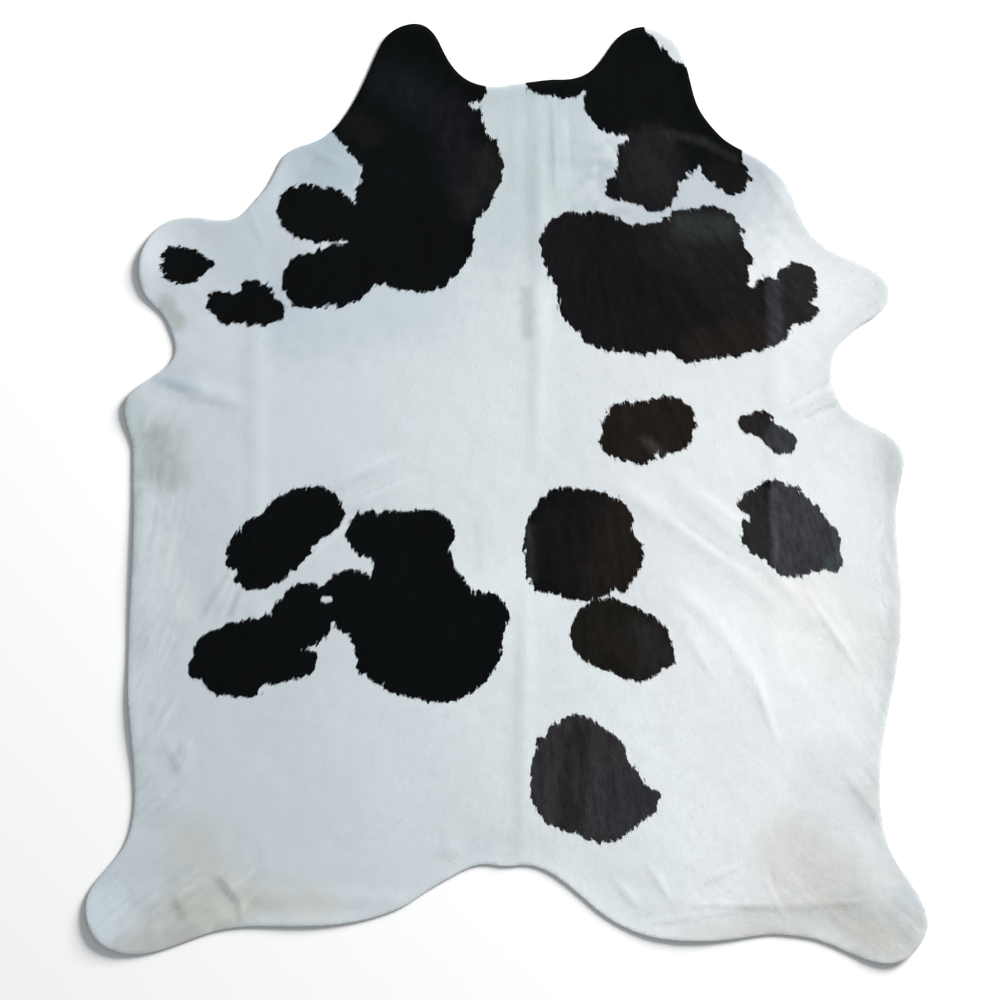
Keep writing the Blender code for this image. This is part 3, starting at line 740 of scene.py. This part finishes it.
def is_inside(points, loop):
    """Which points lie inside a closed outline."""
    inside = np.zeros(len(points), dtype=bool)
    for start, end in zip(loop, np.roll(loop, -1, 0)):
        spans = (start[1] > points[:, 1]) != (end[1] > points[:, 1])
        if start[1] != end[1]:
            crossing = start[0] + (points[:, 1] - start[1]) * (end[0] - start[0]) / (end[1] - start[1])
            inside ^= spans & (points[:, 0] < crossing)
    return inside


def plumb(tree, x, y, way, near):
    """Where a plumb line going up (1) or down (-1) meets a surface, or what is nearest, and the normal."""
    hit, normal, _, _ = tree.ray_cast(Vector((x, y, -way * PLUMB_START)), Vector((0.0, 0.0, way)))
    if hit is None:
        hit, normal, _, _ = tree.find_nearest(Vector((x, y, near)))
    return hit, normal


class Hide:
    """The solid's rim as a smooth curve, and its flesh side within that."""

    def __init__(self, node):
        points, under, loop = flesh_side(node)
        self.cad_rim = points[loop]
        self.rim = closed_curve(self.cad_rim, RIM_STEP)
        self.flesh = points[np.setdiff1d(np.unique(under), loop)]
        self.tree = BVHTree.FromPolygons(points.tolist(), under.tolist())
        dense_rim = closed_curve(self.cad_rim, DENSE_RIM_STEP)
        self.rim_tree = KDTree(len(dense_rim))
        for index, place in enumerate(dense_rim):
            self.rim_tree.insert((place[0], place[1], 0.0), index)
        self.rim_tree.balance()

    def from_rim(self, points):
        """Metres from each point to the rim, below zero outside it."""
        away = np.array([self.rim_tree.find((x, y, 0.0))[2] for x, y in points])
        return np.where(is_inside(points, self.cad_rim[:, :2]), away, -away)

    def height(self, points):
        """Height of the flesh side over each point."""
        return np.array([plumb(self.tree, x, y, 1.0, NEAR_FLESH_SIDE)[0].z for x, y in points])


# ---- the leather sheet

# The sheet's materials, in order.
HAIR_SIDE = 0
FLESH_SIDE = 1
CUT_EDGE = 2

# Corner and size of the two sides on the sheet's map, and the strip beside them that holds the cut edge.
MAP_HAIR_SIDE = ((0.003, 0.003), (0.594, 0.994))
MAP_FLESH_SIDE = ((0.604, 0.003), (0.350, 0.994))
MAP_CUT_EDGE = (0.960, 0.996)


def grid(step, low, high, seed, jitter):
    """Points of a triangular grid over the box, each moved a little."""
    rows = np.arange(low[1], high[1], step * math.sqrt(0.75))
    columns = np.arange(low[0], high[0], step)
    x = columns[None, :] + np.where(np.arange(len(rows)) % 2, 0.5 * step, 0.0)[:, None]
    y = np.broadcast_to(rows[:, None], x.shape)
    points = np.stack((x.ravel(), y.ravel()), axis=1)
    return points + np.random.default_rng(seed).uniform(-jitter, jitter, points.shape) * step


def triangulated(loop, inner):
    """Triangles over the points inside a closed loop, which comes first in the numbering."""
    plan = np.vstack((loop, inner))
    count = len(loop)
    edges = [(index, (index + 1) % count) for index in range(count)]
    found = delaunay_2d_cdt([Vector(place) for place in plan], edges, [list(range(count))], 1, 1e-7)
    if len(found[0]) != len(plan):
        raise ValueError("the sheet's points were merged")
    order = np.array([origins[0] for origins in found[3]])
    triangles = order[np.array(found[2])]
    first, second, third = (plan[triangles[:, column]] for column in range(3))
    there, beyond = second - first, third - first
    turn = there[:, 0] * beyond[:, 1] - there[:, 1] * beyond[:, 0]
    triangles[turn < 0] = triangles[turn < 0][:, ::-1]
    return triangles


def smoothed(heights, triangles, times):
    """Heights, each drawn towards the middle of its neighbours'."""
    runs = np.vstack((triangles[:, (0, 1)], triangles[:, (1, 2)], triangles[:, (2, 0)]))
    for _ in range(times):
        total = np.zeros(len(heights))
        count = np.zeros(len(heights))
        np.add.at(total, runs[:, 0], heights[runs[:, 1]])
        np.add.at(count, runs[:, 0], 1.0)
        heights = 0.5 * heights + 0.5 * total / np.maximum(count, 1.0)
    return heights


def inset(loop, distance):
    """A closed loop moved inwards; it runs anticlockwise."""
    run = np.roll(loop, -1, 0) - np.roll(loop, 1, 0)
    run /= np.linalg.norm(run, axis=1)[:, None]
    return loop + distance * np.stack((-run[:, 1], run[:, 0]), axis=1)


def add_object(name, data):
    thing = bpy.data.objects.new(name, data)
    bpy.context.scene.collection.objects.link(thing)
    return thing


def new_object(name, points, triangles):
    mesh = bpy.data.meshes.new(name)
    mesh.vertices.add(len(points))
    mesh.vertices.foreach_set("co", np.asarray(points, dtype=np.float32).ravel())
    mesh.loops.add(3 * len(triangles))
    mesh.loops.foreach_set("vertex_index", np.asarray(triangles, dtype=np.int32).ravel())
    mesh.polygons.add(len(triangles))
    mesh.polygons.foreach_set("loop_start", np.arange(0, 3 * len(triangles), 3, dtype=np.int32))
    mesh.update(calc_edges=True)
    mesh.shade_smooth()
    return add_object(name, mesh)


def add_number(thing, name, values):
    thing.data.attributes.new(name, "FLOAT", "POINT").data.foreach_set("value", values.astype(np.float32))


def add_colour(thing, name, colours):
    four = np.hstack((colours, np.ones((len(colours), 1)))).astype(np.float32)
    thing.data.attributes.new(name, "FLOAT_COLOR", "POINT").data.foreach_set("color", four.ravel())


def add_map(thing, places):
    """Lays the piece out flat, by the corners of its triangles."""
    thing.data.uv_layers.new(name="OFBake").uv.foreach_set("vector", places.astype(np.float32).ravel())


def sheet_map(plan, top, under, count):
    """Places on the map: the hair side, then the cut edge between the sides, then the flesh side."""
    low, high = plan.min(axis=0), plan.max(axis=0)
    share = (plan - low) / (high - low)
    over = MAP_HAIR_SIDE[0] + share[top] * MAP_HAIR_SIDE[1]
    below = MAP_FLESH_SIDE[0] + share[under] * MAP_FLESH_SIDE[1]
    start = np.arange(count) / count
    foot, crown = (np.stack((np.full(count, edge), start), axis=1) for edge in MAP_CUT_EDGE)
    on = (0.0, 1.0 / count)
    low_halves = np.stack((foot, foot + on, crown + on), axis=1)
    high_halves = np.stack((foot, crown + on, crown), axis=1)
    return np.vstack((over, low_halves, high_halves, below))


def quads(one, two, three, four):
    return np.vstack((np.stack((one, two, three), axis=1), np.stack((one, three, four), axis=1)))


def hair_side(hide):
    """Points and triangles of the sheet's hair side; the ring along the rim comes first."""
    rim = hide.rim[:, :2]
    ring = inset(rim, EDGE_ROUNDING)
    places = grid(SHEET_STEP, rim.min(axis=0), rim.max(axis=0), SHEET_SEED, SHEET_JITTER)
    places = places[hide.from_rim(places) > SHEET_FROM_RIM]
    over = np.vstack((ring, places))
    triangles = triangulated(ring, places)
    table = in_view(over)
    from_rim = hide.from_rim(over)
    heights = smoothed(hide.height(over), triangles, HEIGHT_SMOOTHINGS)
    calm = RIGHT_CALM * smooth_step((table[:, 0] - CALM_START) / CALM_REACH)
    calm *= smooth_step(from_rim / CALM_FROM_RIM)
    heights += calm * (smoothed(heights, triangles, BROAD_SMOOTHINGS) - heights)
    swell = BROAD_SWELL_RISE * lattice_noise(table, BROAD_SWELL)
    swell += SMALL_SWELL_RISE * lattice_noise(table, SMALL_SWELL)
    rising = np.minimum(1.0, RIM_RELIEF + from_rim / RELIEF_FROM_RIM)
    top = heights + LEATHER_THICKNESS + (swell + crease_rise(table)) * rising
    return np.column_stack((over, top)), triangles


def make_sheet(hide):
    """The leather: a fine hair side, a coarser flesh side and the cut edge between them."""
    over_points, over_triangles = hair_side(hide)
    rim, rim_base = hide.rim[:, :2], hide.rim[:, 2]
    count = len(rim)
    rim_base = (np.roll(rim_base, 1) + 2.0 * rim_base + np.roll(rim_base, -1)) / 4.0
    rim_top = over_points[:count, 2] - (LEATHER_THICKNESS - CUT_EDGE_THICKNESS)
    flesh = hide.flesh[hide.from_rim(hide.flesh[:, :2]) > FLESH_FROM_RIM]

    wall_start = len(over_points)
    under_start = wall_start + count
    here = np.arange(count)
    there = (here + 1) % count
    bevel = quads(wall_start + here, wall_start + there, there, here)
    over = np.vstack((over_triangles, bevel))
    wall = quads(under_start + here, under_start + there, wall_start + there, wall_start + here)
    under = under_start + triangulated(rim, flesh[:, :2])[:, ::-1]
    edge_points = (np.column_stack((rim, rim_top)), np.column_stack((rim, rim_base)))
    points = np.vstack((over_points, *edge_points, flesh))
    sheet = new_object("hide_leather", points, np.vstack((over, wall, under)))
    faces = np.repeat((HAIR_SIDE, CUT_EDGE, FLESH_SIDE), (len(over), len(wall), len(under)))
    sheet.data.polygons.foreach_set("material_index", faces.astype(np.int32))
    add_map(sheet, sheet_map(points[:, :2], over, under, count))
    colour_sheet(sheet, in_view(points[:, :2]))
    return sheet, over_points, over_triangles


def colour_sheet(sheet, places):
    """What the ground between the locks is coloured by."""
    white, black = coat_tones(places)
    add_colour(sheet, "white_hair", white)
    add_colour(sheet, "black_hair", black)
    add_number(sheet, "into_black", np.clip(-outside_black(places), -DEPTH_LIMIT, DEPTH_LIMIT))


# ---- the hair

def lock_lines(hide, chance):
    """Each lock's root, the way it lies and its length."""
    low, high = hide.rim[:, :2].min(axis=0), hide.rim[:, :2].max(axis=0)
    roots = grid(LOCK_SPACING, low, high, ROOT_SEED, ROOT_JITTER)
    roots = roots[hide.from_rim(roots) > ROOT_FROM_RIM]
    lie = hair_lie(in_view(roots))
    turn = np.radians(chance.normal(0.0, LOCK_SPREAD_DEGREES, len(roots)))
    turn += SWIRL_TURN * lattice_noise(in_view(roots), SWIRL)
    cos, sin = np.cos(turn), np.sin(turn)
    lie = np.stack((lie[:, 0] * cos - lie[:, 1] * sin, lie[:, 0] * sin + lie[:, 1] * cos), axis=1)
    length = chance.uniform(*LOCK_LENGTH, len(roots))
    for _ in range(SHORTENINGS):
        over_rim = hide.from_rim(roots + length[:, None] * lie) < -OVERHANG
        length[over_rim] *= SHORTENED
    keep = hide.from_rim(roots + length[:, None] * lie) > -OVERHANG
    return roots[keep], lie[keep], length[keep]


def make_locks(hide, over_points, over_triangles):
    """Flat locks of short hair, each a long three-sided spike that lies on the leather."""
    chance = np.random.default_rng(LOCK_SEED)
    roots, lie, length = lock_lines(hide, chance)
    tips = roots + length[:, None] * lie
    count = len(roots)
    tree = BVHTree.FromPolygons(over_points.tolist(), over_triangles.tolist())
    root_height, normal = surface(tree, roots)
    tip_height, _ = surface(tree, tips)
    side = np.stack((lie[:, 1], -lie[:, 0]), axis=1)
    width = chance.uniform(*LOCK_WIDTH, count)[:, None]
    rise = chance.uniform(*LOCK_RISE, count)

    points = np.empty((count, 4, 3))
    points[:, 0, :2] = roots - 0.5 * width * side
    points[:, 1, :2] = roots + 0.5 * width * side
    points[:, 2, :2] = roots + RIDGE_PLACE * length[:, None] * lie
    points[:, 3, :2] = tips
    points[:, :2, 2] = (root_height - ROOT_DEPTH)[:, None]
    ridge_height = root_height + RIDGE_PLACE * (tip_height - root_height)
    points[:, 2, 2] = ridge_height + LOCK_THICKNESS + RIDGE_RISE * rise
    points[:, 3, 2] = tip_height + rise
    colour_place = in_view(roots + COLOUR_POINT * length[:, None] * lie)
    is_black = outside_black(colour_place) < 0.0
    return points, lock_normals(normal, side), is_black, chance.normal(0.0, 1.0, count)


def lock_normals(normal, side):
    """Normals of each lock's points, turned outwards at the root's corners so that the lock looks round."""
    across = np.column_stack((side, np.zeros(len(side))))
    normals = np.repeat(normal[:, None, :], 4, axis=1)
    normals[:, 0] -= LOCK_ROUNDNESS * across
    normals[:, 1] += LOCK_ROUNDNESS * across
    return normals / np.linalg.norm(normals, axis=2)[:, :, None]


def surface(tree, places):
    """Height and normal of the hair side at each place."""
    heights, normals = [], []
    for x, y in places:
        hit, normal = plumb(tree, x, y, -1.0, NEAR_HAIR_SIDE)
        heights.append(hit.z)
        normals.append(normal if normal.z > 0 else -normal)
    return np.array(heights), np.array(normals)


def lock_map(roots):
    """A square cell of the map for each lock, neighbours side by side: its upper faces and its under face."""
    count = len(roots)
    side = math.ceil(math.sqrt(count))
    rank = np.arange(count)
    column = np.empty(count, dtype=int)
    column[np.argsort(roots[:, 0], kind="stable")] = rank // side
    cell = np.empty((count, 2))
    cell[np.lexsort((roots[:, 1], column))] = np.stack((rank // side, rank % side), axis=1)
    top = np.array(((0.08, 0.08), (0.80, 0.08), (0.30, 0.30), (0.08, 0.80)))
    under = np.array(((0.92, 0.92), (0.20, 0.92), (0.50, 0.50), (0.92, 0.20)))
    patch = np.vstack((top[LOCK_FACES[:3].ravel()], under[LOCK_FACES[3]]))
    return (cell[:, None, :] + patch) / side


def lock_object(name, points, normals, shade, is_black):
    """Locks of one colour as one mesh, each lighter or darker by its own shade."""
    count = len(points)
    triangles = (4 * np.arange(count)[:, None, None] + LOCK_FACES).reshape(-1, 3)
    piece = new_object(name, points.reshape(-1, 3), triangles)
    piece.data.normals_split_custom_set_from_vertices(normals.reshape(-1, 3).tolist())
    table = in_view(points[:, 0, :2])
    white, black = coat_tones(table)
    if is_black:
        tone = black * (1.0 + BLACK_LOCK * shade[:, None])
    else:
        coarse = SMOOTH_COAT + COARSE_LOCK * coarseness(table)[:, None]
        tone = white * (1.0 + coarse * shade[:, None])
    add_colour(piece, "hair", np.repeat(np.clip(tone, 0.0, 1.0), 4, axis=0))
    add_map(piece, lock_map(points[:, 0]))
    return piece


def hair_pieces(locks, name, black, count, axis, roughness, specular):
    """The locks of one colour in a few pieces, split along X (0) or Y (1)."""
    points, normals, is_black, shade = locks
    material = hair_material(name, roughness, specular)
    chosen = np.flatnonzero(is_black == black)
    order = chosen[np.argsort(points[chosen, 0, axis], kind="stable")]
    pieces = []
    for index, part in enumerate(np.array_split(order, count)):
        piece = lock_object(f"{name}_{index + 1}", points[part], normals[part], shade[part], black)
        piece.data.materials.append(material)
        pieces.append(piece)
    return pieces


# ---- materials

def set_inputs(node, values):
    for name, value in values.items():
        node.inputs[name].default_value = value


class Nodes:
    """A material's node tree, with short ways to add to it."""

    def __init__(self, name):
        self.material = bpy.data.materials.new(name)
        self.material.use_nodes = True
        self.tree = self.material.node_tree
        self.shader = self.tree.nodes["Principled BSDF"]

    def add(self, kind, **settings):
        node = self.tree.nodes.new(kind)
        for name, value in settings.items():
            setattr(node, name, value)
        return node

    def link(self, output, socket):
        self.tree.links.new(output, socket)

    def attribute(self, name):
        return self.add("ShaderNodeAttribute", attribute_name=name)

    def maths(self, operation, one, two=0.0, **settings):
        node = self.add("ShaderNodeMath", operation=operation, **settings)
        for socket, value in zip(node.inputs, (one, two)):
            if isinstance(value, (int, float)):
                socket.default_value = value
            else:
                self.link(value, socket)
        return node.outputs[0]

    def noise(self, scale, detail, roughness):
        node = self.add("ShaderNodeTexNoise")
        set_inputs(node, {"Scale": scale, "Detail": detail, "Roughness": roughness})
        self.link(self.add("ShaderNodeTexCoord").outputs["Object"], node.inputs["Vector"])
        return node.outputs["Fac"]

    def bump(self, height, distance):
        node = self.add("ShaderNodeBump")
        set_inputs(node, {"Distance": distance, "Strength": 1.0})
        self.link(height, node.inputs["Height"])
        self.link(node.outputs["Normal"], self.shader.inputs["Normal"])

    def mixed(self, share, one, two):
        node = self.add("ShaderNodeMix", data_type="RGBA")
        self.link(share, node.inputs[0])
        for socket, value in ((node.inputs[6], one), (node.inputs[7], two)):
            if isinstance(value, tuple):
                socket.default_value = (*value, 1.0)
            else:
                self.link(value, socket)
        return node.outputs[2]

    def colour(self, output):
        self.link(output, self.shader.inputs["Base Color"])

    def finish(self, roughness, specular):
        set_inputs(self.shader, {"Roughness": roughness, "Specular IOR Level": specular})


# How far the ground's colour frays at the edge of a patch, and how steeply it changes there.
GROUND_FRAY = 2.4
GROUND_SHARPNESS = 1.6


def coat_material():
    """Hair side of the leather, seen between the locks."""
    nodes = Nodes("coat_ground")
    depth = nodes.attribute("into_black").outputs["Fac"]
    fray = nodes.maths("SUBTRACT", nodes.noise(scale=260.0, detail=3.0, roughness=0.6), 0.5)
    depth = nodes.maths("ADD", depth, nodes.maths("MULTIPLY", fray, GROUND_FRAY))
    share = nodes.maths("ADD", nodes.maths("MULTIPLY", depth, GROUND_SHARPNESS), 0.5, use_clamp=True)
    white, black = (nodes.attribute(name).outputs["Color"] for name in ("white_hair", "black_hair"))
    nodes.colour(nodes.mixed(share, white, black))
    nodes.bump(nodes.noise(scale=420.0, detail=3.0, roughness=0.65), distance=0.12 * MM)
    nodes.finish(roughness=0.65, specular=0.06)
    return nodes.material


def hair_material(name, roughness, specular):
    nodes = Nodes(name)
    nodes.colour(nodes.attribute("hair").outputs["Color"])
    nodes.finish(roughness, specular)
    return nodes.material


# Each noise is its scale, detail and roughness.
SUEDE = dict(name="suede", dark=(0.40, 0.36, 0.31), pale=(0.55, 0.51, 0.45), clouds=(35.0, 5.0, 0.6),
             fibres=(700.0, 4.0, 0.7), relief=0.5 * MM, roughness=0.95, specular=0.15)
CUT_LEATHER = dict(name="cut_leather", dark=(0.42, 0.40, 0.37), pale=(0.58, 0.56, 0.52),
                   clouds=(120.0, 4.0, 0.6), fibres=(600.0, 3.0, 0.6), relief=0.3 * MM,
                   roughness=0.85, specular=0.2)


def leather_material(name, dark, pale, clouds, fibres, relief, roughness, specular):
    """Bare leather: clouds of two colours, and fibres in relief."""
    nodes = Nodes(name)
    nodes.colour(nodes.mixed(nodes.noise(*clouds), dark, pale))
    nodes.bump(nodes.noise(*fibres), relief)
    nodes.finish(roughness, specular)
    return nodes.material


# ---- floor, light and camera

FLOOR_REACH = 12.0
FLOOR_DROP = 0.2 * MM
FLOOR_COLOUR = (0.98, 0.98, 0.98, 1.0)
ROOM_COLOUR = (0.93, 0.985, 1.03, 1.0)
ROOM_STRENGTH = 0.34
LAMP_COLOUR = (1.0, 0.985, 0.965)
LAMP_WIDTH = 4.4
LAMP_WATTS = 2760.0
LAMP_PLACE = Vector((7.6, 6.8, 4.15))
CAMERA_HEIGHT = 14.0
SENSOR_WIDTH = 36.0
SIGHT = 100.0


def make_floor():
    mesh = bpy.data.meshes.new("floor")
    corners = ((-1, -1), (1, -1), (1, 1), (-1, 1))
    mesh.from_pydata([(x * FLOOR_REACH, y * FLOOR_REACH, 0.0) for x, y in corners], [], [(0, 1, 2, 3)])
    floor = add_object("floor", mesh)
    nodes = Nodes("floor")
    set_inputs(nodes.shader, {"Base Color": FLOOR_COLOUR})
    nodes.finish(roughness=0.9, specular=0.1)
    mesh.materials.append(nodes.material)
    floor.location.z = -FLOOR_DROP


def make_light():
    """A pale room and one large square lamp, to the right and beyond the neck."""
    world = bpy.data.worlds.new("room")
    world.use_nodes = True
    set_inputs(world.node_tree.nodes["Background"], {"Color": ROOM_COLOUR, "Strength": ROOM_STRENGTH})
    bpy.context.scene.world = world
    lamp = bpy.data.lights.new("window", "AREA")
    lamp.shape = "SQUARE"
    lamp.size = LAMP_WIDTH
    lamp.energy = LAMP_WATTS
    lamp.color = LAMP_COLOUR
    light = add_object("window", lamp)
    light.location = LAMP_PLACE
    light.rotation_euler = (-LAMP_PLACE).to_track_quat("-Z", "Y").to_euler()


def make_camera():
    """Straight above the hide, with the view's width on the floor."""
    lens = bpy.data.cameras.new("camera")
    lens.type = "PERSP"
    lens.sensor_width = SENSOR_WIDTH
    lens.sensor_fit = "HORIZONTAL"
    lens.lens = SENSOR_WIDTH * CAMERA_HEIGHT / VIEW_WIDTH
    lens.clip_end = SIGHT
    camera = add_object("camera", lens)
    camera.location = (*((VIEW_MIDDLE - VIEW_ORIGIN) * VIEW_STEP), CAMERA_HEIGHT)
    bpy.context.scene.camera = camera


def main():
    make_camera()
    make_light()
    make_floor()
    bpy.context.scene.view_settings.view_transform = "Standard"
    hide = Hide(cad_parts["hide"])
    sheet, over_points, over_triangles = make_sheet(hide)
    for material in (coat_material(), leather_material(**SUEDE), leather_material(**CUT_LEATHER)):
        sheet.data.materials.append(material)
    locks = make_locks(hide, over_points, over_triangles)
    pieces = hair_pieces(locks, "white_hair", black=False, count=3, axis=0, roughness=0.60, specular=0.20)
    pieces += hair_pieces(locks, "black_hair", black=True, count=2, axis=1, roughness=0.50, specular=0.05)
    for piece in (sheet, *pieces):
        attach(piece, "root")
    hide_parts("hide")


main()
